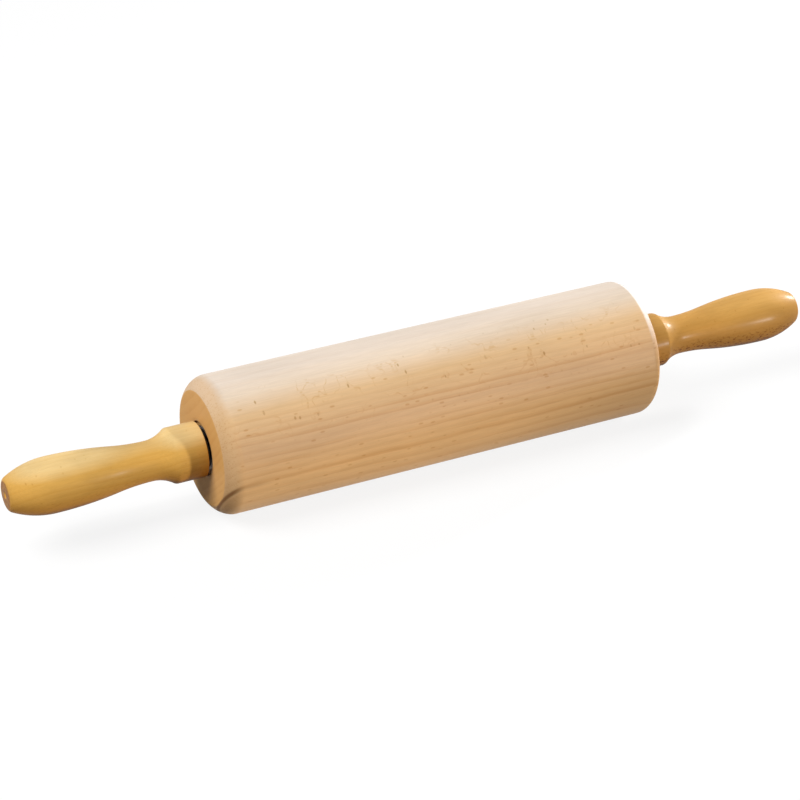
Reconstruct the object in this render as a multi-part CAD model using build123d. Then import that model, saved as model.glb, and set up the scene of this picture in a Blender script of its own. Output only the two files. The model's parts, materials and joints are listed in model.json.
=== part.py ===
from build123d import *
from math import asin, degrees, radians, sqrt, tan
import os

# Rolling pin with a revolving beech barrel, two turned handles, a through axle and two ball bearings.
# Lengths are millimetres. X runs along the pin, +Z is up, and the origin is the middle of the barrel.
# Everything but the barrel's shoulders is drawn for the right-hand end and mirrored to the left.

# Barrel
barrel_diameter = 70.0
barrel_length = 240.0
left_shoulder_length = 8.4
left_shoulder_drop = 6.0
left_shoulder_bulge = 1.2
right_shoulder_length = 5.4
right_shoulder_drop = 5.2
right_shoulder_bulge = 1.5
relief_diameter = 27.6
relief_depth = 1.5
bore_clearance = 0.9

# Handle, with distances counted from the face of its collar unless the name says otherwise
running_gap = 1.5
handle_length = 98.5
collar_diameter = 28.0
collar_length = 15.0
collar_round = 0.7
collar_face_bevel = 0.4
neck_diameter = 20.0
neck_distance = 26.4
belly_diameter = 27.9
belly_to_tip = 22.5
swell_share = 0.35
tip_diameter = 15.6
tip_round = 2.4
centre_mark_diameter = 3.4
centre_mark_depth = 1.5

# Axle, fixed in blind bores of the handles
axle_diameter = 8.0
axle_grip = 54.0
axle_bevel = 0.8
bore_end_clearance = 1.5
drill_point_angle = 118.0
glue_groove_count = 3
glue_groove_pitch = 12.0
glue_groove_width = 1.2
glue_groove_depth = 0.4
glue_groove_inset = 8.0

# Deep-groove ball bearing, 8 x 22 x 7
bearing_diameter = 22.0
bearing_width = 7.0
ring_bevel = 0.3
ball_diameter = 3.969
ball_count = 7
land_share = 0.72
race_clearance = 0.05
shield_thickness = 0.25
shield_recess = 0.2
shield_seat_step = 0.6
shield_gap = 0.2
shield_lip = 0.3
cage_clearance = 0.25
cage_land_gap = 0.5
pocket_clearance = 0.06
cage_front_share = 0.5

# Spacer sleeve between the inner ring and the collar
spacer_wall = 1.6
spacer_bevel = 0.2

# Spring retaining ring in the axle's groove
clip_thickness = 0.8
clip_groove_width = 0.9
clip_groove_depth = 0.2
clip_band = 1.5
clip_taper = 0.25
clip_lug_radius = 1.4
clip_lug_lift = 0.4
clip_lug_hole_diameter = 1.1
clip_opening = 2.2

# How far a cutting shape runs past what it cuts
overrun = 1.0

# Places along X that follow from the sizes above
face_x = barrel_length / 2
collar_x = face_x + running_gap
tip_x = collar_x + handle_length
bearing_outboard_x = face_x - relief_depth
bearing_inboard_x = bearing_outboard_x - bearing_width
bearing_x = (bearing_outboard_x + bearing_inboard_x) / 2
axle_end_x = collar_x + axle_grip

# Radii that follow from the sizes above
barrel_radius = barrel_diameter / 2
collar_radius = collar_diameter / 2
neck_radius = neck_diameter / 2
belly_radius = belly_diameter / 2
tip_radius = tip_diameter / 2
axle_radius = axle_diameter / 2
bearing_radius = bearing_diameter / 2
ball_radius = ball_diameter / 2
pitch_radius = (axle_radius + bearing_radius) / 2
race_radius = ball_radius + race_clearance
inner_land_radius = pitch_radius - land_share * ball_radius
outer_land_radius = pitch_radius + land_share * ball_radius
race_half_width = sqrt(race_radius**2 - (land_share * ball_radius) ** 2)
shield_seat_radius = outer_land_radius + shield_seat_step
spacer_radius = axle_radius + spacer_wall
clip_groove_radius = axle_radius - clip_groove_depth
clip_lug_centre_radius = clip_groove_radius + clip_band + clip_lug_lift
clip_outer_radius = clip_lug_centre_radius + clip_lug_radius
bore_radius = clip_outer_radius + bore_clearance


def turned(*edges):
    """A solid of revolution about X, from a closed outline in X and radius."""
    return revolve(make_face(edges), Axis.X)


def ring(x0, x1, inner, outer):
    """A plain ring between two places on X. With no inner radius it is a cylinder."""
    return turned(Polyline((x0, inner), (x0, outer), (x1, outer), (x1, inner), close=True))


def bevelled_ring(x0, x1, inner, outer, bevel):
    """A ring with its two outer corners bevelled."""
    outline = Polyline(
        (x0, inner),
        (x0, outer - bevel),
        (x0 + bevel, outer),
        (x1 - bevel, outer),
        (x1, outer - bevel),
        (x1, inner),
        close=True,
    )
    return turned(outline)


def around(count, shape):
    """Copies of a shape, evenly spaced about X."""
    return [shape.rotate(Axis.X, 360.0 * turn / count) for turn in range(count)]


def shoulder(sign, length, drop, bulge):
    """The bulged edge between the barrel's cylinder and one end face."""
    start = Vector(sign * (face_x - length), barrel_radius)
    end = Vector(sign * face_x, barrel_radius - drop)
    outward = Vector(sign * drop, length).normalized()
    return ThreePointArc(start, (start + end) / 2 + outward * bulge, end)


def barrel():
    """Turned beech barrel: through bore, a bearing seat and a shallow relief in each end."""
    left = shoulder(-1, left_shoulder_length, left_shoulder_drop, left_shoulder_bulge)
    right = shoulder(1, right_shoulder_length, right_shoulder_drop, right_shoulder_bulge)
    blank = turned(
        Line((-face_x, 0), left @ 1),
        left,
        Line(left @ 0, right @ 0),
        right,
        Line(right @ 1, (face_x, 0)),
        Line((face_x, 0), (-face_x, 0)),
    )
    for sign in (-1, 1):
        blank -= ring(sign * bearing_inboard_x, sign * (face_x + overrun), 0.0, bearing_radius)
        blank -= ring(sign * bearing_outboard_x, sign * (face_x + overrun), 0.0, relief_diameter / 2)
    return blank - ring(-face_x, face_x, 0.0, bore_radius)


def handle_outline():
    """Collar, cove, neck, belly and nose of the right-hand handle, all in arcs that run on into each other."""
    collar_end = Vector(collar_x + collar_length, collar_radius)
    neck = Vector(collar_x + neck_distance, neck_radius)
    belly = Vector(tip_x - belly_to_tip, belly_radius)
    tip = Vector(tip_x, tip_radius)
    turn = neck + (belly - neck) * swell_share
    return [
        Polyline((collar_x, 0), (collar_x, collar_radius - collar_face_bevel),
                 (collar_x + collar_face_bevel, collar_radius), collar_end),
        TangentArc(neck, collar_end, tangent=(-1, 0)),
        TangentArc(neck, turn, tangent=(1, 0)),
        TangentArc(belly, turn, tangent=(-1, 0)),
        TangentArc(belly, tip, tangent=(1, 0)),
        Polyline(tip, (tip_x, 0), (collar_x, 0)),
    ]


def rim_at(body, x):
    """The circular edge of a turned body that lies nearest to a place on X."""
    rims = body.edges().filter_by(GeomType.CIRCLE)
    return rims.sort_by(lambda rim: abs(rim.arc_center.X - x))[0]


def handle():
    """Turned and lacquered handle, with its blind bore for the axle and the lathe's centre mark in its tip."""
    body = turned(*handle_outline())
    body = fillet(rim_at(body, collar_x + collar_length), collar_round)
    body = fillet(rim_at(body, tip_x), tip_round)
    bore_x = axle_end_x + bore_end_clearance
    drill_point = axle_radius / tan(radians(drill_point_angle / 2))
    bore = Polyline(
        (collar_x - overrun, 0),
        (collar_x - overrun, axle_radius),
        (bore_x, axle_radius),
        (bore_x + drill_point, 0),
        close=True,
    )
    mark = Polyline((tip_x - centre_mark_depth, 0), (tip_x, centre_mark_diameter / 2), (tip_x, 0), close=True)
    return body - turned(bore) - turned(mark)


def axle():
    """Steel rod with bevelled ends, a clip groove behind each bearing and glue grooves in each grip."""
    rod = bevelled_ring(-axle_end_x, axle_end_x, 0.0, axle_radius, axle_bevel)
    clip_groove_x = bearing_inboard_x - clip_groove_width
    cut_radius = axle_radius + overrun
    for sign in (-1, 1):
        rod -= ring(sign * clip_groove_x, sign * bearing_inboard_x, clip_groove_radius, cut_radius)
        for count in range(glue_groove_count):
            x = axle_end_x - glue_groove_inset - count * glue_groove_pitch
            rod -= ring(sign * (x - glue_groove_width), sign * x, axle_radius - glue_groove_depth, cut_radius)
    return rod


def race(radius, bulge):
    """Arc of a raceway across the middle of the bearing, on the land of one ring."""
    return ThreePointArc(
        (bearing_x - race_half_width, radius), (bearing_x, bulge), (bearing_x + race_half_width, radius)
    )


def inner_ring():
    """Bearing's inner ring, which sits on the axle."""
    groove = race(inner_land_radius, pitch_radius - race_radius)
    return turned(
        Polyline((bearing_inboard_x, inner_land_radius), (bearing_inboard_x, axle_radius + ring_bevel),
                 (bearing_inboard_x + ring_bevel, axle_radius), (bearing_outboard_x - ring_bevel, axle_radius),
                 (bearing_outboard_x, axle_radius + ring_bevel), (bearing_outboard_x, inner_land_radius)),
        Line((bearing_outboard_x, inner_land_radius), groove @ 1),
        groove,
        Line(groove @ 0, (bearing_inboard_x, inner_land_radius)),
    )


def outer_ring():
    """Bearing's outer ring, which is pressed into the barrel, with a step for a shield in each side."""
    groove = race(outer_land_radius, pitch_radius + race_radius)
    step = shield_recess + shield_thickness + shield_lip
    inboard_step_x = bearing_inboard_x + step
    outboard_step_x = bearing_outboard_x - step
    return turned(
        Polyline((inboard_step_x, outer_land_radius), (inboard_step_x, shield_seat_radius),
                 (bearing_inboard_x, shield_seat_radius), (bearing_inboard_x, bearing_radius - ring_bevel),
                 (bearing_inboard_x + ring_bevel, bearing_radius), (bearing_outboard_x - ring_bevel, bearing_radius),
                 (bearing_outboard_x, bearing_radius - ring_bevel), (bearing_outboard_x, shield_seat_radius),
                 (outboard_step_x, shield_seat_radius), (outboard_step_x, outer_land_radius)),
        Line((outboard_step_x, outer_land_radius), groove @ 1),
        groove,
        Line(groove @ 0, (inboard_step_x, outer_land_radius)),
    )


def shield(face, inward):
    """Pressed steel cover with a turned-in rim, at one side of the bearing. inward points to its middle."""
    outside = face + inward * shield_recess
    inside = outside + inward * shield_thickness
    rim = inside + inward * shield_lip
    return turned(
        Polyline(
            (outside, inner_land_radius + shield_gap),
            (outside, shield_seat_radius),
            (rim, shield_seat_radius),
            (rim, shield_seat_radius - shield_thickness),
            (inside, shield_seat_radius - shield_thickness),
            (inside, inner_land_radius + shield_gap),
            close=True,
        )
    )


def balls():
    """The steel balls, each between both raceways."""
    first = Pos(bearing_x, 0, pitch_radius) * Sphere(ball_radius)
    return around(ball_count, first)


def cage():
    """Crown cage: a ring behind the balls, with pockets that close round each ball past its middle."""
    side = bearing_width / 2 - shield_recess - shield_thickness - cage_clearance
    back_x = bearing_x - side
    front_x = bearing_x + cage_front_share * ball_radius
    crown = ring(back_x, front_x, inner_land_radius + cage_land_gap, outer_land_radius - cage_land_gap)
    pocket = Pos(bearing_x, 0, pitch_radius) * Sphere(ball_radius + pocket_clearance)
    for cut in around(ball_count, pocket):
        crown -= cut
    return crown


def spacer():
    """Sleeve on the axle, from the inner ring to the face of the collar."""
    return bevelled_ring(bearing_outboard_x, collar_x, axle_radius, spacer_radius, spacer_bevel)


def retaining_ring():
    """Spring clip: a band that thins towards its opening, with a holed lug at each end."""
    band_radius = clip_groove_radius + clip_band
    band = Pos(0, -clip_taper) * Circle(band_radius)
    lug_angle = degrees(asin((clip_opening / 2 + clip_lug_radius) / clip_lug_centre_radius))
    lugs = [Rot(0, 0, 90.0 + sign * lug_angle) * Pos(clip_lug_centre_radius, 0) for sign in (-1, 1)]
    for place in lugs:
        band += place * Circle(clip_lug_radius)
    band -= Circle(clip_groove_radius)
    reach = clip_outer_radius + overrun
    band -= Pos(0, reach / 2) * Rectangle(clip_opening, reach)
    for place in lugs:
        band -= place * Circle(clip_lug_hole_diameter / 2)
    flat = extrude(band, clip_thickness)
    return Pos(bearing_inboard_x - clip_thickness, 0, 0) * Rot(0, 90, 0) * flat


def write(name, shape):
    """Writes one piece, or a group of separate pieces, to its own file."""
    if isinstance(shape, list):
        shape = Compound(children=shape)
    shape.label = name
    export_step(shape, "parts/" + name + ".step")


def both_ends(name, shape):
    """Writes a piece of the right-hand end, and its mirror image at the left-hand end."""
    write(name + "_right", shape)
    if isinstance(shape, list):
        write(name + "_left", [mirror(piece, Plane.YZ) for piece in shape])
    else:
        write(name + "_left", mirror(shape, Plane.YZ))


os.makedirs("parts", exist_ok=True)
write("barrel", barrel())
write("axle", axle())
both_ends("handle", handle())
both_ends("bearing_inner_ring", inner_ring())
both_ends("bearing_outer_ring", outer_ring())
both_ends("bearing_balls", balls())
both_ends("bearing_cage", cage())
both_ends("outer_shield", shield(bearing_outboard_x, -1))
both_ends("inner_shield", shield(bearing_inboard_x, 1))
both_ends("spacer", spacer())
both_ends("retaining_ring", retaining_ring())
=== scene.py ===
"""Looks of a rolling pin: a revolving beech barrel between two turned and lacquered handles.

The file is laid out as an add-on. Sizes, colours and the studio are properties, and each group of pieces
has an operator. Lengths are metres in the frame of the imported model: X runs along the pin and Z is up.
"""
import json
import math

import bpy
from bpy.props import FloatProperty, FloatVectorProperty, IntProperty, PointerProperty
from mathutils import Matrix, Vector


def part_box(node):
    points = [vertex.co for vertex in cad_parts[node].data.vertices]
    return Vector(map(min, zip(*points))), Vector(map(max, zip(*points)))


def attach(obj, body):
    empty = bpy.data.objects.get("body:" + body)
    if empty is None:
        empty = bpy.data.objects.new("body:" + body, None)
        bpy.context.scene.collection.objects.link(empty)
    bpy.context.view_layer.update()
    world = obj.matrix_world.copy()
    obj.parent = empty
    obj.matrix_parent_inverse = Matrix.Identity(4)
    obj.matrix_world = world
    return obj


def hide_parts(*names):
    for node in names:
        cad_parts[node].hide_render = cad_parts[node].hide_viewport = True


bl_info = {
    "name": "Turned rolling pin",
    "version": (1, 0, 0),
    "blender": (4, 5, 0),
    "location": "View3D > Sidebar > Rolling pin",
    "description": "Turns the wooden pieces, dresses the metal ones and sets the studio around them",
    "category": "Object",
}

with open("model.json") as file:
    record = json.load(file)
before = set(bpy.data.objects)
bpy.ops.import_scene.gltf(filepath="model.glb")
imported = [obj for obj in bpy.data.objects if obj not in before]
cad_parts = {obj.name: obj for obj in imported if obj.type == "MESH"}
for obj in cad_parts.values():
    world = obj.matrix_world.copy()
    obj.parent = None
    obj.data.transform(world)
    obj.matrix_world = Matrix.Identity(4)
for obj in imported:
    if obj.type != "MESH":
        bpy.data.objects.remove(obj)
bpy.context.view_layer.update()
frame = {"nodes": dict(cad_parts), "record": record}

MM = 0.001
WHITE = (1.0, 1.0, 1.0, 1.0)

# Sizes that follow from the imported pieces
barrel_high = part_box("barrel")[1]
BARREL_HALF = barrel_high.x
BARREL_RADIUS = barrel_high.y
handle_low, handle_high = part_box("handle_right")
COLLAR_X = handle_low.x
TIP_X = handle_high.x
COLLAR_RADIUS = handle_high.y
ring_low, ring_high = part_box("bearing_outer_ring_right")
SEAT_X = ring_low.x
RELIEF_X = ring_high.x
SEAT_RADIUS = ring_high.y
axle_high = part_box("axle")[1]
AXLE_END_X = axle_high.x
AXLE_RADIUS = axle_high.y
FLOOR_Z = -BARREL_RADIUS


def length(name, description, default):
    """A length that a user can change."""
    return FloatProperty(
        name=name, description=description, default=default, min=0.0, unit="LENGTH", precision=5
    )


def share(name, description, default):
    """A share from 0 to 1 that a user can change."""
    return FloatProperty(
        name=name, description=description, default=default, min=0.0, max=1.0, subtype="FACTOR"
    )


def number(name, description, default):
    """A plain number that a user can change."""
    return FloatProperty(name=name, description=description, default=default)


def colour(name, description, default):
    """A colour that a user can change, in linear light."""
    return FloatVectorProperty(
        name=name, description=description, default=default, min=0.0, max=1.0, size=3, subtype="COLOR"
    )


def place(name, description, default):
    """A place that a user can change."""
    return FloatVectorProperty(
        name=name, description=description, default=default, size=3, unit="LENGTH", subtype="XYZ"
    )


class BarrelSizes(bpy.types.PropertyGroup):
    """Sizes of the turned barrel"""

    left_length: length("Left shoulder length", "Length of the left edge along the pin", 8.4 * MM)
    left_drop: length("Left shoulder drop", "How far the left edge drops to the end face", 6.0 * MM)
    left_bulge: length("Left shoulder bulge", "How far the left edge stands out from its chord", 1.2 * MM)
    right_length: length("Right shoulder length", "Length of the right edge along the pin", 5.4 * MM)
    right_drop: length("Right shoulder drop", "How far the right edge drops to the end face", 5.2 * MM)
    right_bulge: length("Right shoulder bulge", "How far the right edge stands out from its chord", 1.5 * MM)
    arris_rounding: length("Arris rounding", "Sanded corner between edge and end face", 0.4 * MM)
    shoulder_softening: length("Shoulder softening", "Sanded corner between cylinder and edge", 0.6 * MM)
    relief_diameter: length("Relief diameter", "Shallow recess round the bearing", 27.6 * MM)
    bore_diameter: length("Bore diameter", "Through bore for the axle and its clips", 16.0 * MM)
    seat_corner: length("Seat corner", "Rounding of the bored corners", 0.2 * MM)


class HandleSizes(bpy.types.PropertyGroup):
    """Sizes of the turned handles, with distances counted from the face of the collar"""

    collar_length: length("Collar length", "Straight part next to the barrel", 15.0 * MM)
    collar_rounding: length("Collar rounding", "Softened corner between collar and cove", 0.7 * MM)
    collar_face_rounding: length("Face rounding", "Softened corner of the collar's face", 0.5 * MM)
    neck_diameter: length("Neck diameter", "Thinnest part, between collar and grip", 20.0 * MM)
    neck_distance: length("Neck distance", "From the collar's face to the neck", 26.4 * MM)
    belly_diameter: length("Belly diameter", "Thickest part of the grip", 27.9 * MM)
    belly_distance: length("Belly distance", "From the collar's face to the belly", 76.0 * MM)
    swell_share: share("Swell share", "Where the hollow curve turns into the full one", 0.35)
    tip_diameter: length("Tip diameter", "Small flat on the free end", 15.6 * MM)
    tip_rounding: length("Tip rounding", "Softened corner of the free end", 2.4 * MM)
    centre_mark_diameter: length("Centre mark diameter", "Mark of the lathe's centre", 3.4 * MM)
    centre_mark_depth: length("Centre mark depth", "Depth of the lathe's mark", 1.5 * MM)
    bore_end_clearance: length("Bore end clearance", "Room past the axle's end", 1.5 * MM)
    drill_point_angle: FloatProperty(
        name="Drill point angle", description="Cone at the end of the blind bore",
        default=math.radians(118.0), subtype="ANGLE",
    )


class TurningSettings(bpy.types.PropertyGroup):
    """How finely the turned pieces are made"""

    turns: IntProperty(
        name="Steps round", description="Flat strips round a turned piece", default=256, min=24
    )
    arc_steps: IntProperty(
        name="Steps along an arc", description="Strips along a curved stretch", default=14, min=4
    )
    straight_steps: IntProperty(
        name="Steps along a straight", description="Strips along the barrel", default=24, min=1
    )
    smooth_angle: FloatProperty(
        name="Smooth angle", description="Corners sharper than this stay crisp",
        default=math.radians(32.0), subtype="ANGLE",
    )


class BeechColours(bpy.types.PropertyGroup):
    """Colours of the raw beech barrel, from the pale side of the board to the side nearest the heart. The
    pale side faces up, and some of these tones are painted light, as noted below.
    """

    # Pale and cream: paler wood, with painted sheen from above on the upper side.
    pale: colour("Pale side", "Creamy wood on the pale side", (0.690, 0.584, 0.488))
    cream: colour("Cream", "Next to the pale side", (0.680, 0.550, 0.420))
    honey: colour("Honey", "Warm wood of the middle", (0.670, 0.445, 0.238))
    tan: colour("Tan", "Plain tan wood", (0.625, 0.375, 0.188))
    # Russet: lighter than the wood itself, painted light on the lower front.
    russet: colour("Russet", "Browner wood on the heart side", (0.840, 0.485, 0.205))
    back: colour("Back", "Warm wood on the side away from the cook", (0.690, 0.480, 0.290))
    late: colour("Late wood", "Tint of the dark line of a growth ring", (0.880, 0.790, 0.680))
    ray: colour("Ray flecks", "Tint of the flecks", (0.820, 0.700, 0.520))
    mark: colour("Marks", "Tint of the few darkest flecks", (0.600, 0.500, 0.300))
    # Left shoulder: darker tan, partly slant-cut grain and partly painted shade.
    left_shoulder_and_shade: colour("Left shoulder", "Tan grain on the left shoulder", (0.580, 0.370, 0.190))
    # Right shoulder: a painted highlight, pale where the shoulder catches the light.
    right_shoulder_highlight: colour("Right shoulder", "Pale grain on the right shoulder", (0.840, 0.790, 0.760))
    pores: colour("End pores", "Tint of the pores that end on a shoulder", (0.860, 0.780, 0.660))
    left_end: colour("Left end", "The cut left end", (0.620, 0.340, 0.115))
    right_end: colour("Right end", "The cut right end", (0.560, 0.380, 0.220))
    streak: colour("Dark streak", "Brown mineral streak at the left shoulder", (0.170, 0.062, 0.016))
    beyond_streak: colour("Beyond the streak", "Tint of the wood beyond it", (0.750, 0.600, 0.450))
    roughness: share("Roughness", "Sanded, unfinished wood", 0.46)
    gloss: share("Gloss", "Sheen of the sanded wood", 0.15)
    cut_gloss: share("Cut gloss", "Sheen of the shoulders and the cut ends", 0.03)
    pore_depth: length("Pore depth", "Relief of the grain", 0.05 * MM)


class LacquerColours(bpy.types.PropertyGroup):
    """Colours of the lacquered handles. The tones from top to underside are partly painted light: sheen on
    top and shade underneath.
    """

    left_speckle: share("Left speckle", "Strength of the specks under the left handle", 0.15)
    right_speckle: share("Right speckle", "Strength of the specks under the right handle", 1.0)
    # Painted light on both handles: the top tones are paler for sheen from above, the bottom tones darker for
    # shade underneath.
    left_top: colour("Left top", "Upper side of the left handle", (0.710, 0.500, 0.220))
    left_upper: colour("Left upper", "Between the top and the middle", (0.600, 0.335, 0.078))
    left_middle: colour("Left middle", "Middle of the left handle", (0.625, 0.325, 0.065))
    left_bottom: colour("Left bottom", "Underside of the left handle", (0.510, 0.205, 0.022))
    # The right handle's lower tones are darker than the left's, partly painted shade at that end.
    right_top: colour("Right top", "Upper side of the right handle", (0.600, 0.330, 0.090))
    right_upper: colour("Right upper", "Between the top and the middle", (0.500, 0.257, 0.060))
    right_middle: colour("Right middle", "Middle of the right handle", (0.450, 0.212, 0.045))
    right_bottom: colour("Right bottom", "Underside of the right handle", (0.330, 0.130, 0.015))
    late: colour("Late wood", "Tint of the ring lines", (0.955, 0.915, 0.830))
    ray: colour("Ray flecks", "Tint of the flecks", (0.760, 0.620, 0.420))
    speck: colour("Specks", "Small brown specks", (0.400, 0.250, 0.100))
    end_grain: colour("End grain", "The cut end", (0.360, 0.165, 0.038))
    end_mottle: colour("End mottle", "Dark patches in the cut end", (0.260, 0.105, 0.020))
    coat_roughness: share("Coat roughness", "Gloss of the lacquer", 0.25)
    coat_weight: share("Coat weight", "Strength of the lacquer's gloss", 0.10)
    ripple: length("Lacquer ripple", "Unevenness of the dried lacquer", 0.05 * MM)


class MetalColours(bpy.types.PropertyGroup):
    """Colours of the inner pieces"""

    axle: colour("Axle steel", "Bright drawn rod", (0.56, 0.57, 0.58))
    # Painted shade, not grease: the bearing steel is darkened and browned so that the narrow gap at each
    # collar reads dark.
    ring: colour("Bearing steel", "Ground rings with a film of grease", (0.34, 0.29, 0.23))
    ball: colour("Ball steel", "Polished balls", (0.76, 0.76, 0.78))
    # Painted shade: the shields and sleeves are blackened steel, made darker and browner still so that the
    # gap at each collar reads as shade.
    black: colour("Blackening", "Shields and sleeves", (0.050, 0.028, 0.016))
    phosphate: colour("Phosphate", "Dark retaining rings", (0.060, 0.060, 0.065))
    nylon: colour("Nylon", "Moulded cages", (0.76, 0.70, 0.56))


class StudioSettings(bpy.types.PropertyGroup):
    """Camera, lamps and floor"""

    camera: place("Camera", "Where the camera stands", (-0.51207, -1.03196, 0.65461))
    aim: FloatVectorProperty(
        name="Aim", description="Direction in which the camera looks",
        default=(0.37831, 0.78181, -0.49563), size=3, subtype="DIRECTION",
    )
    lens: number("Lens", "Focal length in millimetres on a 36 mm sensor", 118.27)
    floor_half: length("Floor", "Half the side of the floor", 6.0)
    floor_grey: share("Floor grey", "How much of the light the floor gives back", 0.25)
    floor_pale: share("Floor pale", "How light the floor's own colour looks", 0.95)
    floor_white: share("Floor white", "Share of the floor that shows as white paper", 0.87)
    world_light: number("World light", "Strength of the light from all round", 0.13)
    key_power: number("Key power", "Watts of the large softbox above and to the left", 60.0)
    fill_power: number("Fill power", "Watts of the low lamp at the front right", 31.0)
    kicker_power: number("Kicker power", "Watts of the small lamp at the right", 13.0)


def settings(name):
    """One of the property groups of this scene."""
    return getattr(bpy.context.scene, "rolling_pin_" + name)


# Outlines, as points in X and radius


def level_arc(level, other, count):
    """Points on an arc from level, where it runs along the pin, to other."""
    run = other - level
    radius = run.length_squared / (2 * run.y)
    turn = math.asin(run.x / radius)
    angles = [turn * step / count for step in range(count + 1)]
    return [level + Vector((radius * math.sin(angle), radius * (1 - math.cos(angle)))) for angle in angles]


def bulged_arc(start, end, bulge, count):
    """Points on an arc from start to end that stands out from its chord on the left-hand side."""
    chord = end - start
    along = chord.normalized()
    outward = Vector((-along.y, along.x))
    half_chord = chord.length / 2
    radius = (half_chord**2 + bulge**2) / (2 * bulge)
    centre = (start + end) / 2 + outward * (bulge - radius)
    half_turn = math.asin(half_chord / radius)
    angles = [half_turn * (2 * step / count - 1) for step in range(count + 1)]
    return [centre + radius * (outward * math.cos(angle) + along * math.sin(angle)) for angle in angles]


def straight(start, end, count):
    """Points evenly spaced from start to end."""
    return [start.lerp(end, step / count) for step in range(count + 1)]


def joined(*stretches):
    """One list of points from stretches that each start where the last one ends."""
    points = list(stretches[0])
    for stretch in stretches[1:]:
        points += stretch[1:]
    return points


def barrel_end(sign, side, sizes, arc_steps):
    """Outline of one end of the barrel, from its bore to its cylinder, and its softened corners."""
    reach, drop, bulge = (getattr(sizes, side + part) for part in ("_length", "_drop", "_bulge"))
    bore_radius = sizes.bore_diameter / 2
    relief_radius = sizes.relief_diameter / 2
    cylinder_end = Vector((BARREL_HALF - reach, BARREL_RADIUS))
    face_edge = Vector((BARREL_HALF, BARREL_RADIUS - drop))
    shoulder = bulged_arc(cylinder_end, face_edge, bulge, arc_steps)
    shoulder.reverse()
    points = [
        Vector((0, bore_radius)),
        Vector((SEAT_X, bore_radius)),
        Vector((SEAT_X, SEAT_RADIUS)),
        Vector((RELIEF_X, SEAT_RADIUS)),
        Vector((RELIEF_X, relief_radius)),
        Vector((BARREL_HALF, relief_radius)),
    ] + shoulder
    corners = [
        (face_edge, sizes.arris_rounding),
        (cylinder_end, sizes.shoulder_softening),
        (Vector((BARREL_HALF, relief_radius)), sizes.seat_corner),
        (Vector((RELIEF_X, SEAT_RADIUS)), sizes.seat_corner),
    ]
    points = [Vector((sign * point.x, point.y)) for point in points]
    corners = [(Vector((sign * corner.x, corner.y)), rounding) for corner, rounding in corners]
    return points, corners


def barrel_outline(sizes, turning):
    """Closed outline of the barrel, and the corners that are softened, each with its rounding."""
    right, right_corners = barrel_end(1, "right", sizes, turning.arc_steps)
    left, left_corners = barrel_end(-1, "left", sizes, turning.arc_steps)
    points = joined(right, straight(right[-1], left[-1], turning.straight_steps), left[::-1])
    return points[:-1], right_corners + left_corners


def handle_outline(sizes, arc_steps):
    """Outline of the right-hand handle, from its bore's end to its centre mark, and its softened corners."""
    collar_steps = 4
    bore_end = AXLE_END_X + sizes.bore_end_clearance
    drill_point = AXLE_RADIUS / math.tan(sizes.drill_point_angle / 2)
    bore_mouth = Vector((COLLAR_X, AXLE_RADIUS))
    collar_face = Vector((COLLAR_X, COLLAR_RADIUS))
    collar_end = Vector((COLLAR_X + sizes.collar_length, COLLAR_RADIUS))
    neck = Vector((COLLAR_X + sizes.neck_distance, sizes.neck_diameter / 2))
    belly = Vector((COLLAR_X + sizes.belly_distance, sizes.belly_diameter / 2))
    tip = Vector((TIP_X, sizes.tip_diameter / 2))
    swell = neck.lerp(belly, sizes.swell_share)
    cove = level_arc(neck, collar_end, arc_steps)
    cove.reverse()
    upper_belly = level_arc(belly, swell, arc_steps)
    upper_belly.reverse()
    points = joined(
        [Vector((bore_end + drill_point, 0)), Vector((bore_end, AXLE_RADIUS)), bore_mouth],
        straight(bore_mouth, collar_face, collar_steps),
        straight(collar_face, collar_end, collar_steps),
        cove,
        level_arc(neck, swell, arc_steps),
        upper_belly,
        level_arc(belly, tip, arc_steps),
        [tip, Vector((TIP_X, sizes.centre_mark_diameter / 2)), Vector((TIP_X - sizes.centre_mark_depth, 0))],
    )
    corners = [
        (collar_face, sizes.collar_face_rounding),
        (collar_end, sizes.collar_rounding),
        (tip, sizes.tip_rounding),
    ]
    return points, corners


# Turning, as by hand in edit mode


def draw_outline(name, points, closed):
    """A new object whose mesh is the outline, drawn from point to point. It is left in edit mode."""
    bpy.ops.object.select_all(action="DESELECT")
    bpy.ops.mesh.primitive_plane_add(size=MM)
    piece = bpy.context.active_object
    piece.name = name
    piece.data.name = name
    bpy.ops.object.mode_set(mode="EDIT")
    bpy.ops.mesh.select_mode(type="VERT")
    bpy.ops.mesh.select_all(action="SELECT")
    bpy.ops.mesh.merge(type="CENTER")
    bpy.ops.transform.translate(value=(points[0].x, 0, points[0].y))
    for start, end in zip(points, points[1:]):
        step = end - start
        bpy.ops.mesh.extrude_vertices_move(TRANSFORM_OT_translate={"value": (step.x, 0, step.y)})
    if closed:
        select_points(piece, [points[0], points[-1]])
        bpy.ops.mesh.edge_face_add()
    return piece


def select_points(piece, points):
    """Selects the outline's vertices at the given points, and no others."""
    reach = 0.01 * MM
    bpy.ops.mesh.select_all(action="DESELECT")
    bpy.ops.object.mode_set(mode="OBJECT")
    for vertex in piece.data.vertices:
        spot = Vector((vertex.co.x, vertex.co.z))
        vertex.select = any((spot - point).length < reach for point in points)
    bpy.ops.object.mode_set(mode="EDIT")


def soften_corners(piece, corners):
    """Rounds the outline at its corners."""
    for corner, rounding in corners:
        select_points(piece, [corner])
        bpy.ops.mesh.bevel(
            affect="VERTICES", offset=rounding, segments=5, profile=0.5, clamp_overlap=True
        )


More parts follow.
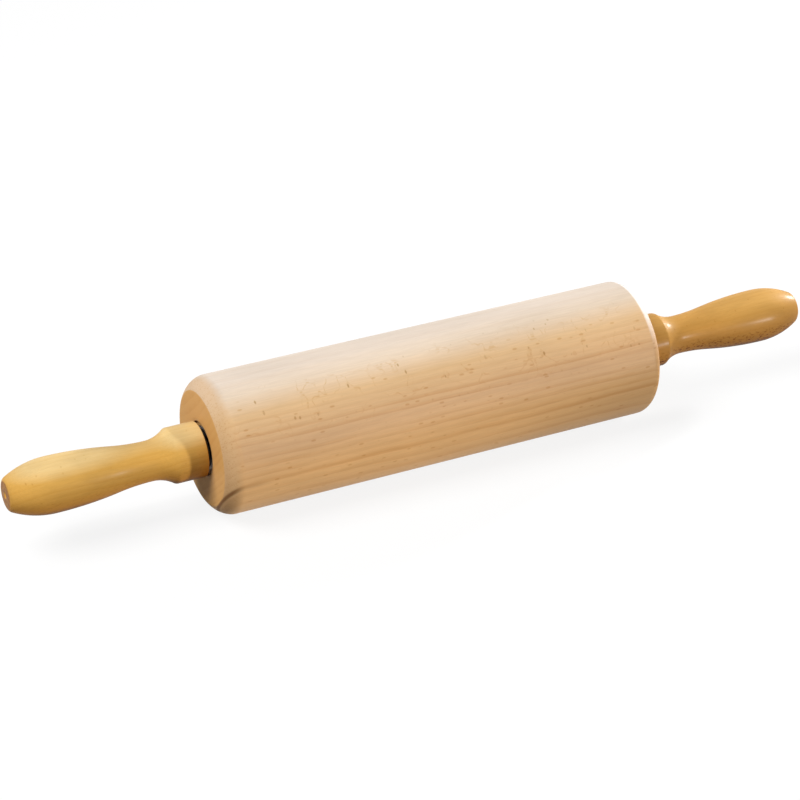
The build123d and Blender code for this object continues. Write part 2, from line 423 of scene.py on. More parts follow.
def spin_outline():
    """Turns the outline in edit mode into a closed solid about the pin's axis, and leaves edit mode."""
    turning = settings("turning")
    bpy.ops.mesh.select_all(action="SELECT")
    bpy.ops.mesh.spin(steps=turning.turns, angle=math.tau, center=(0, 0, 0), axis=(1, 0, 0))
    bpy.ops.mesh.select_all(action="SELECT")
    bpy.ops.mesh.remove_doubles(threshold=0.001 * MM)
    bpy.ops.mesh.normals_make_consistent(inside=False)
    bpy.ops.object.mode_set(mode="OBJECT")
    bpy.ops.object.shade_smooth_by_angle(angle=turning.smooth_angle)


def place_piece(piece, material, body, node):
    """Gives a new piece its material, the body it rides on and the node it stands for."""
    piece.data.materials.append(material)
    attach(piece, body)
    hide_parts(node)


# Materials


class Finish:
    """One procedural material, with short ways to add its nodes."""

    def __init__(self, name):
        self.material = bpy.data.materials.new(name)
        self.material.use_nodes = True
        self.tree = self.material.node_tree
        self.shader = self.tree.nodes["Principled BSDF"]

    def feed(self, socket, value):
        """Joins a socket to a socket, or sets its value."""
        if isinstance(value, bpy.types.NodeSocket):
            self.tree.links.new(value, socket)
        else:
            socket.default_value = value

    def node(self, kind, inputs=(), **choices):
        """A node with its choices made and its inputs fed, each named by its label or its number."""
        made = self.tree.nodes.new(kind)
        for name, value in choices.items():
            setattr(made, name, value)
        for key, value in dict(inputs).items():
            self.feed(made.inputs[key], value)
        return made

    def shade(self, **values):
        """Sets the shader's sockets. An underscore in a name stands for a space."""
        for name, value in values.items():
            self.feed(self.shader.inputs[name.replace("_", " ")], value)

    def maths(self, operation, first, second=0.0, third=0.0):
        """The result of a Math node."""
        return self.node("ShaderNodeMath", {0: first, 1: second, 2: third}, operation=operation).outputs[0]

    def product(self, first, second):
        """Two numbers multiplied."""
        return self.maths("MULTIPLY", first, second)

    def parts(self, vector):
        """The three numbers of a vector."""
        return self.node("ShaderNodeSeparateXYZ", {0: vector}).outputs

    def step(self, value, low, high, to_low=0.0, to_high=1.0):
        """A smooth step between two values."""
        inputs = {"Value": value, "From Min": low, "From Max": high, "To Min": to_low, "To Max": to_high}
        return self.node("ShaderNodeMapRange", inputs, interpolation_type="SMOOTHSTEP").outputs["Result"]

    def blend(self, factor, first, second, kind="MIX"):
        """Two colours mixed by a factor."""
        tones = [tone if isinstance(tone, bpy.types.NodeSocket) else rgba(tone) for tone in (first, second)]
        inputs = {"Factor": factor, 6: tones[0], 7: tones[1]}
        return self.node("ShaderNodeMix", inputs, data_type="RGBA", blend_type=kind).outputs[2]

    def tint(self, colour, amount):
        """A colour multiplied by a number."""
        return self.node("ShaderNodeVectorMath", {0: colour, 3: amount}, operation="SCALE").outputs[0]

    def stain(self, amount, colour, tone):
        """A colour stained with a tint, as far as the amount says."""
        return self.blend(amount, colour, tone, "MULTIPLY")

    def ramp(self, value, low, high, stops):
        """A colour read from stops, each a value and its colour."""
        made = self.node("ShaderNodeValToRGB", {0: self.node(
            "ShaderNodeMapRange", {"Value": value, "From Min": low, "From Max": high}
        ).outputs["Result"]})
        steps = made.color_ramp.elements
        while len(steps) < len(stops):
            steps.new(1.0)
        for step, (spot, tone) in zip(steps, stops):
            step.position = (spot - low) / (high - low)
            step.color = rgba(tone)
        return made.outputs["Color"]

    def stretched(self, vector, scale):
        """A vector with each part multiplied by its own scale."""
        return self.node("ShaderNodeVectorMath", {0: vector, 1: scale}, operation="MULTIPLY").outputs[0]

    def noise(self, vector, detail, roughness=0.5, scale=None):
        """Soft noise from 0 to 1, at a place that can be stretched first."""
        if scale:
            vector = self.stretched(vector, scale)
        inputs = {"Vector": vector, "Scale": 1.0, "Detail": detail, "Roughness": roughness}
        return self.node("ShaderNodeTexNoise", inputs).outputs["Fac"]

    def object_place(self):
        """Place on the object, in millimetres."""
        spot = self.node("ShaderNodeTexCoord").outputs["Object"]
        return self.stretched(spot, (1 / MM, 1 / MM, 1 / MM))

    def object_normal(self):
        """Direction that the surface faces, on the object."""
        return self.node("ShaderNodeTexCoord").outputs["Normal"]

    def bump(self, height, distance):
        """Relief of a height from 0 to 1 over a distance."""
        return self.node("ShaderNodeBump", {"Height": height, "Distance": distance}).outputs["Normal"]


def rgba(value):
    """A colour with its alpha."""
    return (*value, 1.0)


# The barrel's end face in millimetres, ranges of soft noise, and how light the fibres are

END = BARREL_HALF / MM
CLOUD_RANGE = (0.3, 0.7)
FIBRE_RANGE = (0.25, 0.75)
FIBRE_TONES = (0.95, 1.04)


class Grain:
    """Growth rings and rays of solid beech about a pith line that runs along the pin, in millimetres."""

    def __init__(self, finish, pith, wobble, seed):
        slow_scale, quick_scale = (0.012, 0.03, 0.03), (0.045, 0.11, 0.11)
        self.finish = finish
        self.pith_distance = math.hypot(*pith)
        shifted = finish.node(
            "ShaderNodeVectorMath", {0: finish.object_place(), 1: (seed, -pith[0], -pith[1])}, operation="ADD"
        )
        self.spot = shifted.outputs[0]
        self.along, side, height = finish.parts(self.spot)
        flat = finish.stretched(self.spot, (0.0, 1.0, 1.0))
        distance = finish.node("ShaderNodeVectorMath", {0: flat}, operation="LENGTH").outputs["Value"]
        slow = finish.noise(self.spot, detail=1.0, scale=slow_scale)
        quick = finish.noise(self.spot, detail=2.0, scale=quick_scale)
        waved = finish.maths("MULTIPLY_ADD", finish.maths("SUBTRACT", slow, 0.5), wobble[0], distance)
        waved = finish.maths("MULTIPLY_ADD", finish.maths("SUBTRACT", quick, 0.5), wobble[1], waved)
        self.depth = finish.maths("SUBTRACT", waved, self.pith_distance)
        self.angle = finish.maths("ARCTAN2", height, side)

    def rings(self, per_mm, narrowing, offset):
        """How much a place lies in the dark line that ends a ring, each ring with its own strength."""
        finish = self.finish
        darkening, end = (0.25, 0.92), (0.93, 1.0)
        patch_scale, patch_range = (0.02, 0.2, 0.2), (0.3, 0.65)
        faintest_ring, faintest_patch = 0.35, 0.4
        slope = finish.maths("MULTIPLY_ADD", self.depth, narrowing, per_mm)
        phase = finish.maths("MULTIPLY_ADD", self.depth, slope, offset)
        within = finish.maths("FRACT", phase)
        rise = finish.step(within, *darkening)
        line = finish.product(rise, finish.step(within, *end, 1.0, 0.0))
        ring = finish.maths("FLOOR", phase)
        chance = finish.node("ShaderNodeTexWhiteNoise", {"W": ring}, noise_dimensions="1D").outputs["Value"]
        patch = finish.noise(self.spot, detail=1.0, scale=patch_scale)
        own = finish.step(chance, 0.0, 1.0, faintest_ring, 1.0)
        strength = finish.product(own, finish.step(patch, *patch_range, faintest_patch, 1.0))
        return finish.product(line, strength)

    def one_ring(self, depth, rise, fall):
        """One strong ring line at a given depth."""
        finish = self.finish
        before = finish.step(self.depth, depth - rise, depth)
        after = finish.step(self.depth, depth, depth + fall, 1.0, 0.0)
        return finish.product(before, after)

    def cells(self, size, seed=0.0):
        """Place in cells with a length along the grain, round the rings and across them."""
        finish = self.finish
        along = finish.maths("MULTIPLY_ADD", self.along, 1.0 / size[0], seed)
        around = finish.product(self.angle, self.pith_distance / size[1])
        across = finish.maths("DIVIDE", self.depth, size[2])
        return finish.node("ShaderNodeCombineXYZ", {0: along, 1: around, 2: across}).outputs[0]

    def rays(self, cell, size, density, seed=0.0):
        """Ray plates, one in some of the cells."""
        finish = self.finish
        core_share, spare = 0.55, 0.02
        inputs = {"Vector": self.cells(cell, seed), "Scale": 1.0}
        points = finish.node("ShaderNodeTexVoronoi", inputs)
        plate = finish.step(points.outputs["Distance"], size * core_share, size, 1.0, 0.0)
        chance = finish.node("ShaderNodeSeparateColor", {0: points.outputs["Color"]}).outputs[0]
        kept = finish.step(chance, 1.0 - density, 1.0 + spare - density / 2)
        return finish.product(plate, kept)

    def threads(self, cell, width, patch):
        """Thin winding lines of silvery ray figure, in patches."""
        finish = self.finish
        line_seed, patch_seed = 5.0, 9.0
        core_share, patch_range = 0.3, (0.46, 0.60)
        field = finish.noise(self.cells(cell, line_seed), detail=1.0)
        off_line = finish.maths("ABSOLUTE", finish.maths("SUBTRACT", field, 0.5))
        line = finish.step(off_line, width * core_share, width, 1.0, 0.0)
        area = finish.step(finish.noise(self.cells(patch, patch_seed), detail=1.0), *patch_range)
        return finish.product(line, area)

    def fibres(self, fineness):
        """Fine lengthwise fibres and pores, from 0 to 1."""
        along, across = 0.09 * fineness, 1.5 * fineness
        return self.finish.noise(self.spot, detail=3.0, roughness=0.6, scale=(along, across, across))

    def clouds(self, size):
        """Broad uneven tone, from 0 to 1."""
        along, across = 0.35 / size, 1 / size
        return self.finish.noise(self.spot, detail=1.0, scale=(along, across, across))


def board_tones_and_painted_light(finish, grain, along, side):
    """Colour through the board, from its pale side to its heart side, with a warmer back. Partly painted
    light: the pale upper side carries painted sheen and the russet lower front painted light.
    """
    tones = settings("beech")
    lean = 0.019
    half_board = 36.0
    back_starts, back_ends, back_share = 13.0, 30.0, 0.8
    cloud_size, cloud_tones = 22.0, (0.96, 1.04)
    tilted = finish.maths("MULTIPLY_ADD", along, lean, grain.depth)
    # Painted light: the pale and cream stops add sheen to the upper side, the russet stop adds light to the
    # lower front.
    stops = (
        (-25.0, tones.pale), (-15.0, tones.cream), (-3.0, tones.honey),
        (14.0, tones.tan), (27.0, tones.russet),
    )
    body = finish.ramp(tilted, -half_board, half_board, stops)
    behind = finish.step(side, back_starts, back_ends, 0.0, back_share)
    body = finish.blend(behind, body, tones.back)
    return finish.tint(body, finish.step(grain.clouds(cloud_size), *CLOUD_RANGE, *cloud_tones))


def painted_shade_at_ends(finish, grain, along):
    """Painted shade: how much light is left on the lower side, which grows darker towards both ends."""
    right_painted_shade, left_painted_shade = 0.36, 0.05
    lower_depths, right_run, left_run = (2.0, 30.0), (-20.0, END - 10.0), (15.0 - END, 60.0 - END)
    lower = finish.step(grain.depth, *lower_depths)
    to_right = finish.step(along, *right_run, 0.0, right_painted_shade)
    to_left = finish.step(along, *left_run, left_painted_shade, 0.0)
    ends = finish.maths("ADD", to_right, to_left)
    return finish.maths("SUBTRACT", 1.0, finish.product(lower, ends))


def beech_rings(finish, grain, body, late):
    """Ring lines that fade on the pale side, and one strong line near the heart."""
    tones = settings("beech")
    strong_depth, strong_rise, strong_fall, strong_share = 27.4, 1.8, 0.5, 0.45
    fade_depths, fade_shares = (-18.0, 14.0), (0.25, 0.9)
    fade = finish.step(grain.depth, *fade_depths, *fade_shares)
    body = finish.stain(finish.product(late, fade), body, tones.late)
    strong = grain.one_ring(strong_depth, strong_rise, strong_fall)
    return finish.stain(finish.product(strong, strong_share), body, tones.late)


def beech_flecks(finish, grain, body, fibres):
    """Ray figure as broken threads, short dashes and a few dark marks. Gives the colour and the threads."""
    tones = settings("beech")
    thread_cell, thread_width, thread_patch = (6.0, 2.6, 9.0), 0.040, (15.0, 5.0, 14.0)
    dash_cell, dash_size, dash_density, dash_seed = (6.4, 2.1, 2.6), 0.26, 0.42, 11.0
    mark_cell, mark_size, mark_density = (2.4, 1.1, 6.0), 0.30, 0.12
    thread_share, dash_share, mark_share = 0.65, 0.70, 0.80
    figure_starts, figure_fades, beyond_share = (-20.0, -10.0), (0.0, 16.0), 0.15
    breaks, dash_starts = (0.40, 0.60), (-14.0, -4.0)
    fading = finish.step(grain.depth, *figure_fades, 1.0, beyond_share)
    figured = finish.product(finish.step(grain.depth, *figure_starts), fading)
    broken = finish.product(figured, finish.step(fibres, *breaks))
    threads = finish.product(grain.threads(thread_cell, thread_width, thread_patch), broken)
    dashes = grain.rays(dash_cell, dash_size, dash_density, dash_seed)
    dashes = finish.product(dashes, finish.step(grain.depth, *dash_starts))
    marks = finish.product(grain.rays(mark_cell, mark_size, mark_density), figured)
    body = finish.stain(finish.product(threads, thread_share), body, tones.ray)
    body = finish.stain(finish.product(dashes, dash_share), body, tones.ray)
    body = finish.stain(finish.product(marks, mark_share), body, tones.mark)
    return body, threads


def beech_ends(finish, grain, body, along, facing, fibres, late):
    """Shoulders, where the grain is cut at a slant and its pores show, and the two cut ends. The pale tone on
    the right shoulder's upper front is a painted highlight, and the left shoulder's darker tan is partly
    slant-cut grain and partly painted shade.
    """
    tones = settings("beech")
    left_share, right_share, ring_share = 0.65, 0.95, 0.6
    left_slants, right_slants, cut_slants = (0.12, 0.60), (0.05, 0.30), (0.93, 0.985)
    left_edge, right_edge = (10.0 - END, 6.0 - END), (END - 10.0, END - 5.0)
    highlight_depths, pore_range, middle = (16.0, -16.0), (0.50, 0.70), (-1.0, 1.0)
    slant = finish.step(facing, *left_slants)
    pores = finish.product(slant, finish.step(fibres, *pore_range))
    # The left shoulder's tan is partly painted shade.
    at_left = finish.product(slant, finish.step(along, *left_edge, 0.0, left_share))
    body = finish.blend(at_left, body, tones.left_shoulder_and_shade)
    # Painted highlight on the upper front of the right shoulder.
    right_end = finish.step(along, *right_edge, 0.0, right_share)
    right_highlight = finish.product(finish.step(facing, *right_slants), right_end)
    right_highlight = finish.product(right_highlight, finish.step(grain.depth, *highlight_depths))
    body = finish.blend(right_highlight, body, tones.right_shoulder_highlight)
    body = finish.stain(pores, body, tones.pores)
    cut = finish.step(facing, *cut_slants)
    cut_end = finish.blend(finish.step(along, *middle), tones.left_end, tones.right_end)
    cut_end = finish.stain(finish.product(late, ring_share), cut_end, tones.late)
    return finish.blend(cut, body, cut_end)


def mineral_streak(finish, body, along, side, height):
    """A dark vein across the left shoulder, with browner wood beyond it."""
    tones = settings("beech")
    to_front, to_underside = -0.74, -0.67
    vein_plane, vein_core, vein_edge = 29.3, 0.25, 1.2
    beyond_planes, beyond_run, beyond_share = (29.5, 32.0), (3.0 - END, 8.0 - END), 0.35
    end_run, end_shares, fading_run = (2.5 - END, 8.5 - END), (0.80, 0.16), (10.0 - END, 28.0 - END)
    plane = finish.maths("MULTIPLY_ADD", side, to_front, finish.product(height, to_underside))
    near_end = finish.step(along, *beyond_run, beyond_share, 0.0)
    beyond = finish.product(finish.step(plane, *beyond_planes), near_end)
    body = finish.stain(beyond, body, tones.beyond_streak)
    off_plane = finish.maths("ABSOLUTE", finish.maths("SUBTRACT", plane, vein_plane))
    vein = finish.step(off_plane, vein_core, vein_edge, 1.0, 0.0)
    vein = finish.product(vein, finish.step(along, *end_run, *end_shares))
    vein = finish.product(vein, finish.step(along, *fading_run, 1.0, 0.0))
    return finish.blend(vein, body, tones.streak)


def raw_beech():
    """Sanded, unfinished beech of the barrel: board tones, rings, ray flecks and a dark streak. Painted sheen
    lies on the upper side and painted light on the lower front. Painted shade lies towards the ends and
    partly on the left shoulder, and a painted highlight on the right shoulder.
    """
    tones = settings("beech")
    pith_place, ring_wobble, wood_seed = (96.4, 114.9), (2.4, 1.0), 17.0
    rings_per_mm, ring_narrowing, ring_offset = 0.263, 0.00158, 0.38
    thread_relief, gloss_slants = 0.1, (0.05, 0.50)
    finish = Finish("raw_beech")
    grain = Grain(finish, pith_place, ring_wobble, wood_seed)
    along, side, height = finish.parts(finish.object_place())
    fibres = grain.fibres(1.0)
    late = grain.rings(rings_per_mm, ring_narrowing, ring_offset)
    normal_x = finish.parts(finish.object_normal())[0]
    facing = finish.maths("ABSOLUTE", normal_x)
    body = board_tones_and_painted_light(finish, grain, along, side)
    # Painted shade: the lower side is darkened towards both ends.
    body = finish.tint(body, painted_shade_at_ends(finish, grain, along))
    body = beech_rings(finish, grain, body, late)
    body, threads = beech_flecks(finish, grain, body, fibres)
    body = finish.tint(body, finish.step(fibres, *FIBRE_RANGE, *FIBRE_TONES))
    body = beech_ends(finish, grain, body, along, facing, fibres, late)
    body = mineral_streak(finish, body, along, side, height)
    gloss = finish.step(facing, *gloss_slants, tones.gloss, tones.cut_gloss)
    relief = finish.maths("SUBTRACT", fibres, finish.product(threads, thread_relief))
    finish.shade(
        Base_Color=body, Roughness=tones.roughness, Specular_IOR_Level=gloss,
        Normal=finish.bump(relief, tones.pore_depth),
    )
    return finish.material


def lacquered_beech(name, tones_with_painted_light, speckle, seed):
    """Beech under clear amber lacquer: tones from the underside up, faint rings, flecks and a satin coat. The
    tones carry painted sheen on top and painted shade underneath, and a further painted shade darkens the
    underside.
    """
    tones = settings("lacquer")
    pith_place, ring_wobble = (22.0, 34.0), (1.6, 0.6)
    tone_heights, half_height = (-9.0, 0.0, 7.8, 12.2), COLLAR_RADIUS / MM
    cloud_size, cloud_tones = 9.0, (0.95, 1.05)
    painted_shade_heights, painted_shade_tone = (-11.0, -6.5), 0.45
    rings_per_mm, ring_offset, fibre_fineness = 0.42, 0.3, 1.4
    speck_scale, speck_range, speck_heights = (0.55, 1.0, 1.0), (0.545, 0.63), (2.0, -6.0)
    end_slants, mottle_scale, mottle_range = (0.90, 0.99), (0.5, 0.5, 0.5), (0.40, 0.62)
    ripple_scale = (0.06, 0.25, 0.25)
    fleck_cell, fleck_size, fleck_density, fleck_share = (2.6, 0.9, 4.0), 0.24, 0.22, 0.45
    base_roughness, base_gloss, fibre_relief = 0.5, 0.05, 0.02 * MM
    finish = Finish(name)
    grain = Grain(finish, pith_place, ring_wobble, seed)
    height = finish.parts(finish.object_place())[2]
    # Painted light: tones from underside to top, darker below and paler on top.
    body = finish.ramp(height, -half_height, half_height, tuple(zip(tone_heights, tones_with_painted_light)))
    body = finish.tint(body, finish.step(grain.clouds(cloud_size), *CLOUD_RANGE, *cloud_tones))
    # Painted shade: the underside is darkened further.
    body = finish.tint(body, finish.step(height, *painted_shade_heights, painted_shade_tone, 1.0))
    body = finish.stain(grain.rings(rings_per_mm, 0.0, ring_offset), body, tones.late)
    flecks = grain.rays(fleck_cell, fleck_size, fleck_density)
    body = finish.stain(finish.product(flecks, fleck_share), body, tones.ray)
    specks = finish.noise(grain.spot, detail=2.0, scale=speck_scale)
    specks = finish.step(specks, *speck_range)
    specks = finish.product(specks, finish.step(height, *speck_heights, 0.0, speckle))
    body = finish.stain(specks, body, tones.speck)
    fibres = grain.fibres(fibre_fineness)
    body = finish.tint(body, finish.step(fibres, *FIBRE_RANGE, *FIBRE_TONES))
    facing = finish.parts(finish.object_normal())[0]
    end_share = finish.step(finish.maths("ABSOLUTE", facing), *end_slants)
    mottle = finish.noise(grain.spot, detail=3.0, scale=mottle_scale)
    mottle = finish.step(mottle, *mottle_range)
    cut_end = finish.blend(mottle, tones.end_grain, tones.end_mottle)
    body = finish.blend(end_share, body, cut_end)
    ripple = finish.noise(grain.spot, detail=1.0, scale=ripple_scale)
    finish.shade(
        Base_Color=body, Roughness=base_roughness, Specular_IOR_Level=base_gloss,
        Coat_Weight=tones.coat_weight, Coat_Roughness=tones.coat_roughness,
        Coat_Normal=finish.bump(ripple, tones.ripple), Normal=finish.bump(fibres, fibre_relief),
    )
    return finish.material


def turned_metal(name, tone, rough, line, mottle):
    """Metal with fine lines round the pin's axis and a slight mottling."""
    light_share, spread, cut_range, cut_depth = 1.08, 0.2, (0.2, 0.8), 0.004 * MM
    cloud_scale = (0.5, 0.5, 0.5)
    finish = Finish(name)
    spot = finish.object_place()
    flat = finish.stretched(spot, (0.0, 1.0, 1.0))
    radius = finish.node("ShaderNodeVectorMath", {0: flat}, operation="LENGTH")
    along = finish.parts(spot)[0]
    lines = finish.node("ShaderNodeCombineXYZ", {0: along, 1: radius.outputs["Value"], 2: 0.0}).outputs[0]
    cuts = finish.noise(lines, detail=2.0, scale=(line, line, 1.0))
    cloud = finish.noise(spot, detail=3.0, scale=cloud_scale)
    light = tuple(min(1.0, part * light_share) for part in tone)
    dark = tuple(part * (1.0 - mottle) for part in tone)
    body = finish.blend(finish.step(cloud, *CLOUD_RANGE), dark, light)
    gloss = finish.step(cuts, *cut_range, rough * (1 - spread), rough * (1 + spread))
    finish.shade(Base_Color=body, Metallic=1.0, Roughness=gloss, Normal=finish.bump(cuts, cut_depth))
    return finish.material


def polished_balls(name, tone):
    """Hardened and polished steel, with faint clouds in its gloss."""
    cloud_scale, dark_share, gloss_range = (0.9, 0.9, 0.9), 0.93, (0.05, 0.10)
    finish = Finish(name)
    cloud = finish.noise(finish.object_place(), detail=2.0, scale=cloud_scale)
    dark = tuple(part * dark_share for part in tone)
    finish.shade(
        Base_Color=finish.blend(cloud, tone, dark), Metallic=1.0,
        Roughness=finish.step(cloud, *CLOUD_RANGE, *gloss_range),
    )
    return finish.material


def phosphated_steel(name, tone):
    """Dark, dull crystal coating on spring steel."""
    crystal_scale, crystal_range, crystal_height = (7.0, 7.0, 7.0), (0.45, 0.75), 0.01 * MM
    pale_share = 1.9
    finish = Finish(name)
    crystals = finish.noise(finish.object_place(), detail=4.0, roughness=0.7, scale=crystal_scale)
    pale = tuple(part * pale_share for part in tone)
    finish.shade(
        Base_Color=finish.blend(finish.step(crystals, *crystal_range), tone, pale),
        Metallic=0.6, Roughness=0.62, Normal=finish.bump(crystals, crystal_height),
    )
    return finish.material


def moulded_nylon(name, tone):
    """Natural nylon: a little milky, with a fine moulded grain."""
    grain_scale, grain_height, warmth = (4.0, 4.0, 4.0), 0.01 * MM, (1.0, 0.94, 0.84)
    finish = Finish(name)
    grain = finish.noise(finish.object_place(), detail=3.0, scale=grain_scale)
    warm = tuple(part * amount for part, amount in zip(tone, warmth))
    finish.shade(
        Base_Color=finish.blend(grain, tone, warm), Roughness=0.45,
        Subsurface_Weight=0.15, Subsurface_Scale=1.0 * MM, Normal=finish.bump(grain, grain_height),
    )
    return finish.material


def white_paper():
    """Floor that shows as white paper and keeps a soft shadow."""
    studio = settings("studio")
    grain_scale, darkest = (0.4, 0.4, 0.4), 0.985
    finish = Finish("white_paper")
    tree = finish.tree
    grain = finish.noise(finish.object_place(), detail=2.0, scale=grain_scale)
    seen = seen_rays(tree)
    grey, pale = studio.floor_grey, studio.floor_pale
    tone = finish.blend(seen, (grey, grey, grey), (pale, pale, pale))
    tone = finish.tint(tone, finish.step(grain, 0.0, 1.0, darkest, 1.0))
    finish.shade(Base_Color=tone, Roughness=0.9, Specular_IOR_Level=0.1)
    paper = finish.node("ShaderNodeEmission", {"Color": WHITE})
    amount = finish.product(seen, studio.floor_white)
    mix = finish.node("ShaderNodeMixShader", {0: amount, 1: finish.shader.outputs[0], 2: paper.outputs[0]})
    output = tree.nodes["Material Output"]
    tree.links.new(mix.outputs[0], output.inputs["Surface"])
    return finish.material


def seen_rays(tree):
    """1 for rays from the camera, and for mirrored and transmitted ones."""
    path = tree.nodes.new("ShaderNodeLightPath").outputs
    total = path["Is Camera Ray"]
    for name in ("Is Glossy Ray", "Is Transmission Ray"):
        larger = tree.nodes.new("ShaderNodeMath")
        larger.operation = "MAXIMUM"
        tree.links.new(total, larger.inputs[0])
        tree.links.new(path[name], larger.inputs[1])
        total = larger.outputs[0]
    return total


def light_world():
    """Even light from all round, seen as white."""
    studio = settings("studio")
    world = bpy.data.worlds.new("studio")
    bpy.context.scene.world = world
    world.use_nodes = True
    tree = world.node_tree
    light = tree.nodes["Background"]
    light.inputs["Color"].default_value = WHITE
    light.inputs["Strength"].default_value = studio.world_light
    white = tree.nodes.new("ShaderNodeBackground")
    white.inputs["Color"].default_value = WHITE
    mix = tree.nodes.new("ShaderNodeMixShader")
    tree.links.new(seen_rays(tree), mix.inputs[0])
    tree.links.new(light.outputs[0], mix.inputs[1])
    tree.links.new(white.outputs[0], mix.inputs[2])
    tree.links.new(mix.outputs[0], tree.nodes["World Output"].inputs["Surface"])


def add_lamp(name, spot, aim, side, power, mirrored=True):
    """A square white lamp at a place, aimed at another."""
    lamp = bpy.data.lights.new(name, "AREA")
    lamp.size = side
    lamp.energy = power
    holder = bpy.data.objects.new(name, lamp)
    bpy.context.scene.collection.objects.link(holder)
    holder.location = spot
    holder.rotation_euler = (Vector(aim) - Vector(spot)).to_track_quat("-Z", "Y").to_euler()
    holder.visible_camera = False
    holder.visible_glossy = mirrored


# Operators


class ROLLINGPIN_OT_turn_barrel(bpy.types.Operator):
    """Turns the barrel: cylinder, bulged shoulders, end reliefs, bearing seats and bore"""

    bl_idname = "rolling_pin.turn_barrel"
    bl_label = "Turn barrel"

    def execute(self, context):
        turning = settings("turning")
        points, corners = barrel_outline(settings("barrel"), turning)
        piece = draw_outline("turned_barrel", points, True)
        soften_corners(piece, corners)
        spin_outline()
        place_piece(piece, raw_beech(), "barrel", "barrel")
        return {"FINISHED"}


class ROLLINGPIN_OT_turn_handles(bpy.types.Operator):
    """Turns the right-hand handle, and a second one that is turned half round for the left-hand end"""

    bl_idname = "rolling_pin.turn_handles"
    bl_label = "Turn handles"

    def execute(self, context):
        lacquer = settings("lacquer")
        points, corners = handle_outline(settings("handle"), settings("turning").arc_steps)
        right = draw_outline("turned_handle_right", points, False)
        soften_corners(right, corners)
        spin_outline()
        bpy.ops.object.duplicate()
        left = context.active_object
        left.name = "turned_handle_left"
        left.data.name = left.name
        bpy.ops.object.mode_set(mode="EDIT")
        bpy.ops.mesh.select_all(action="SELECT")
        bpy.ops.transform.rotate(value=math.pi, orient_axis="Z", center_override=(0, 0, 0))
        bpy.ops.object.mode_set(mode="OBJECT")
        left_seed, right_seed = 40.0, 260.0
        for side, piece, seed in (("left", left, left_seed), ("right", right, right_seed)):
            # Each handle's tones carry painted shade underneath and painted sheen on top.
            tones_with_painted_light = [getattr(lacquer, side + part) for part in ("_bottom", "_middle", "_upper", "_top")]
            speckle = getattr(lacquer, side + "_speckle")
            material = lacquered_beech("lacquered_beech_" + side, tones_with_painted_light, speckle, seed)
            place_piece(piece, material, "handles", "handle_" + side)
        return {"FINISHED"}


class ROLLINGPIN_OT_dress_inner_pieces(bpy.types.Operator):
    """Gives the axle, bearings, shields, sleeves and clips their finishes"""

    bl_idname = "rolling_pin.dress_inner_pieces"
    bl_label = "Dress inner pieces"

    def execute(self, context):
        metal = settings("metal")
        finishes = {
            "axle_steel": turned_metal("axle_steel", metal.axle, rough=0.28, line=6.0, mottle=0.06),
            # The bearing steel and the shields carry painted shade for the gap at each collar.
            "bearing_steel": turned_metal("bearing_steel", metal.ring, rough=0.42, line=12.0, mottle=0.04),
            "ball_steel": polished_balls("ball_steel", metal.ball),
            "shield_steel": turned_metal("shield_steel", metal.black, rough=0.60, line=3.0, mottle=0.12),
            "cage_nylon": moulded_nylon("cage_nylon", metal.nylon),
            "clip_steel": phosphated_steel("clip_steel", metal.phosphate),
        }
        for subpart in frame["record"]["subparts"]:
            if subpart["material_slot"] in finishes:
                mesh = frame["nodes"][subpart["node"]].data
                mesh.materials.clear()
                mesh.materials.append(finishes[subpart["material_slot"]])
        return {"FINISHED"}


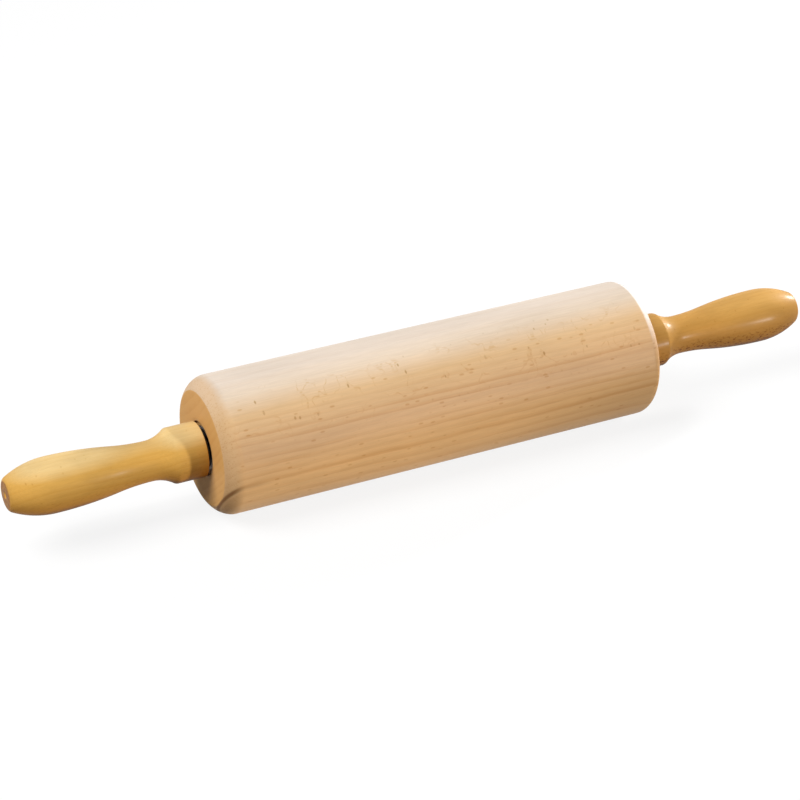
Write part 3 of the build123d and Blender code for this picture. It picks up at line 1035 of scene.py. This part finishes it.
class ROLLINGPIN_OT_set_studio(bpy.types.Operator):
    """Lays the white floor, hangs the lamps and sets the camera"""

    bl_idname = "rolling_pin.set_studio"
    bl_label = "Set studio"

    def execute(self, context):
        studio = settings("studio")
        bpy.ops.object.select_all(action="DESELECT")
        bpy.ops.mesh.primitive_plane_add(size=2 * studio.floor_half, location=(0, 0, FLOOR_Z))
        floor = context.active_object
        floor.name = "floor"
        floor.data.materials.append(white_paper())
        light_world()
        key_place, fill_place, kicker_place = (-1.4, -0.1, 1.8), (1.30, -1.94, 0.10), (1.11, 0.32, 0.31)
        key_side, fill_side, kicker_side = 1.3, 0.16, 0.08
        middle, kicker_aim = (0.0, 0.0, 0.0), (0.15, 0.0, 0.0)
        add_lamp("key_softbox", key_place, middle, key_side, studio.key_power, mirrored=False)
        add_lamp("front_fill", fill_place, middle, fill_side, studio.fill_power)
        add_lamp("right_kicker", kicker_place, kicker_aim, kicker_side, studio.kicker_power)
        camera = bpy.data.cameras.new("camera")
        camera.lens = studio.lens
        holder = bpy.data.objects.new("camera", camera)
        context.scene.collection.objects.link(holder)
        holder.location = studio.camera
        holder.rotation_euler = Vector(studio.aim).to_track_quat("-Z", "Y").to_euler()
        context.scene.camera = holder
        context.scene.view_settings.view_transform = "Standard"
        return {"FINISHED"}


class ROLLINGPIN_PT_panel(bpy.types.Panel):
    """Lists the sizes, the colours and the steps of the rolling pin"""

    bl_idname = "ROLLINGPIN_PT_panel"
    bl_label = "Rolling pin"
    bl_space_type = "VIEW_3D"
    bl_region_type = "UI"
    bl_category = "Rolling pin"

    def draw(self, context):
        for name, group in GROUPS.items():
            box = self.layout.box()
            box.label(text=name.capitalize())
            for key in group.__annotations__:
                box.prop(settings(name), key)
        for step in STEPS:
            self.layout.operator(step.bl_idname)


GROUPS = {
    "barrel": BarrelSizes,
    "handle": HandleSizes,
    "turning": TurningSettings,
    "beech": BeechColours,
    "lacquer": LacquerColours,
    "metal": MetalColours,
    "studio": StudioSettings,
}
STEPS = (
    ROLLINGPIN_OT_turn_barrel,
    ROLLINGPIN_OT_turn_handles,
    ROLLINGPIN_OT_dress_inner_pieces,
    ROLLINGPIN_OT_set_studio,
)
CLASSES = tuple(GROUPS.values()) + STEPS + (ROLLINGPIN_PT_panel,)


def register():
    """Registers the classes and gives the scene its property groups."""
    for made in CLASSES:
        bpy.utils.register_class(made)
    for name, group in GROUPS.items():
        setattr(bpy.types.Scene, "rolling_pin_" + name, PointerProperty(type=group))


def unregister():
    """Takes the property groups and the classes away again."""
    for name in GROUPS:
        delattr(bpy.types.Scene, "rolling_pin_" + name)
    for made in reversed(CLASSES):
        bpy.utils.unregister_class(made)


def main():
    """Makes the whole scene."""
    register()
    bpy.ops.rolling_pin.turn_barrel()
    bpy.ops.rolling_pin.turn_handles()
    bpy.ops.rolling_pin.dress_inner_pieces()
    bpy.ops.rolling_pin.set_studio()


if __name__ == "__main__":
    main()
